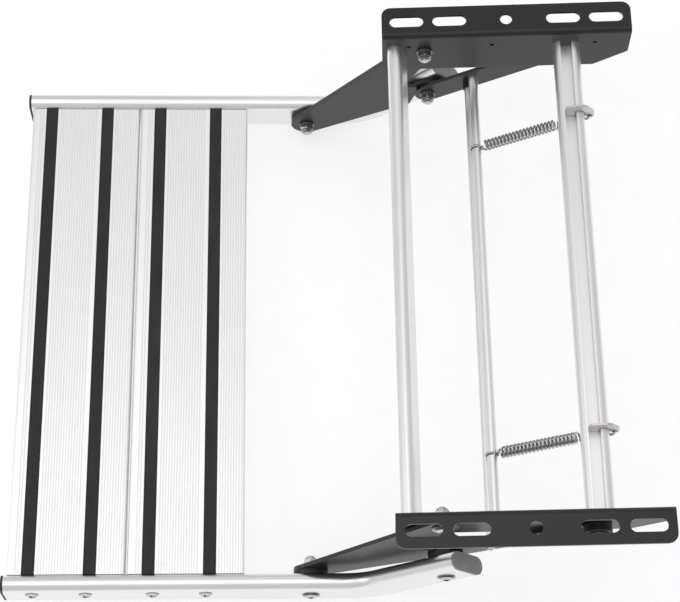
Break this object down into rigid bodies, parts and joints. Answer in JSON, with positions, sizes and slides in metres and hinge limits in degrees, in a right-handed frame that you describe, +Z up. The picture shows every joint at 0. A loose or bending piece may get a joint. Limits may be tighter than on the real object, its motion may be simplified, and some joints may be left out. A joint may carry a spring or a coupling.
{
  "type": "caravan entry step",
  "caption": "Folding entry step for a caravan: bracketed arms carry an aluminium tread with rubber strips, held out by tension springs.",
  "frame": {"origin": "in the plane of the bracket tops, midway between the round centre holes", "axes": "+X to the right seen from the tread side, +Y from the tread to the vehicle, +Z up to the vehicle's floor"},
  "size_m": [0.558, 0.6363, 0.2076],
  "materials": {
    "black_coat": "black powder coat, fine texture",
    "anodised": "satin, lightly anodised",
    "strip_rubber": "matt, ribbed",
    "black_plastic": "moulded, matt",
    "grey_plastic": "moulded, matt",
    "zinc": "bright zinc plate",
    "spring_steel": "drawn wire, zinc plated",
    "plain_steel": "stamped plate, zinc plated and dulled"
  },
  "bodies": {
    "chassis": {"bracket_left": "black_coat", "bracket_right": "black_coat", "front_cross_tube": "anodised", "rear_cross_profile": "anodised", "cross_screws": "zinc", "spring_hook_plates": "plain_steel", "front_pivot_bolts": "zinc", "front_pivot_nuts": "zinc", "front_pivot_washers": "zinc", "rear_pivot_bolts": "zinc", "rear_pivot_nuts": "zinc", "rear_pivot_washers": "zinc", "rear_pivot_discs": "black_plastic", "spring_left": "spring_steel", "spring_right": "spring_steel"},
    "front_arms": {"front_arm_left": "black_coat", "front_arm_right": "black_coat"},
    "rear_arms": {"rear_arm_left": "black_coat", "rear_arm_right": "black_coat", "spring_bar": "anodised", "tie_rod": "anodised", "tie_rod_sleeves": "black_plastic", "tie_rod_screws": "zinc", "link_spacers": "black_plastic", "link_bolt_ends": "zinc", "link_nuts": "zinc", "link_washers": "zinc"},
    "step": {"rail_left": "anodised", "rail_right": "anodised", "tread_board_outer": "anodised", "tread_board_inner": "anodised", "strip_1": "strip_rubber", "strip_2": "strip_rubber", "strip_3": "strip_rubber", "strip_4": "strip_rubber", "rail_front_caps": "black_plastic", "rail_rear_caps": "grey_plastic", "tread_screws": "zinc", "step_pivot_bolts": "zinc", "step_pivot_nuts": "zinc", "step_pivot_washers": "zinc", "step_pivot_spacers": "black_plastic", "link_bolts": "zinc"}
  },
  "joints": [
    {"name": "front_arm_hinge", "type": "hinge", "parent": "chassis", "child": "front_arms", "pos_m": [0, -0.082, -0.03], "axis": [1, 0, 0], "range_deg": [0, 88]},
    {"name": "rear_arm_hinge", "type": "hinge", "parent": "chassis", "child": "rear_arms", "pos_m": [0, 0.059, -0.041], "axis": [1, 0, 0], "range_deg": [0, 122.89], "deforming": ["spring_left", "spring_right"]},
    {"name": "step_hinge", "type": "hinge", "parent": "front_arms", "child": "step", "pos_m": [0, -0.209, -0.183], "axis": [1, 0, 0], "range_deg": [-91.95, 0]}
  ],
  "couplings": [
    {"joint": "rear_arm_hinge", "follows": "front_arm_hinge", "ratio": 1.3963},
    {"joint": "step_hinge", "follows": "front_arm_hinge", "ratio": -1.0447}
  ]
}
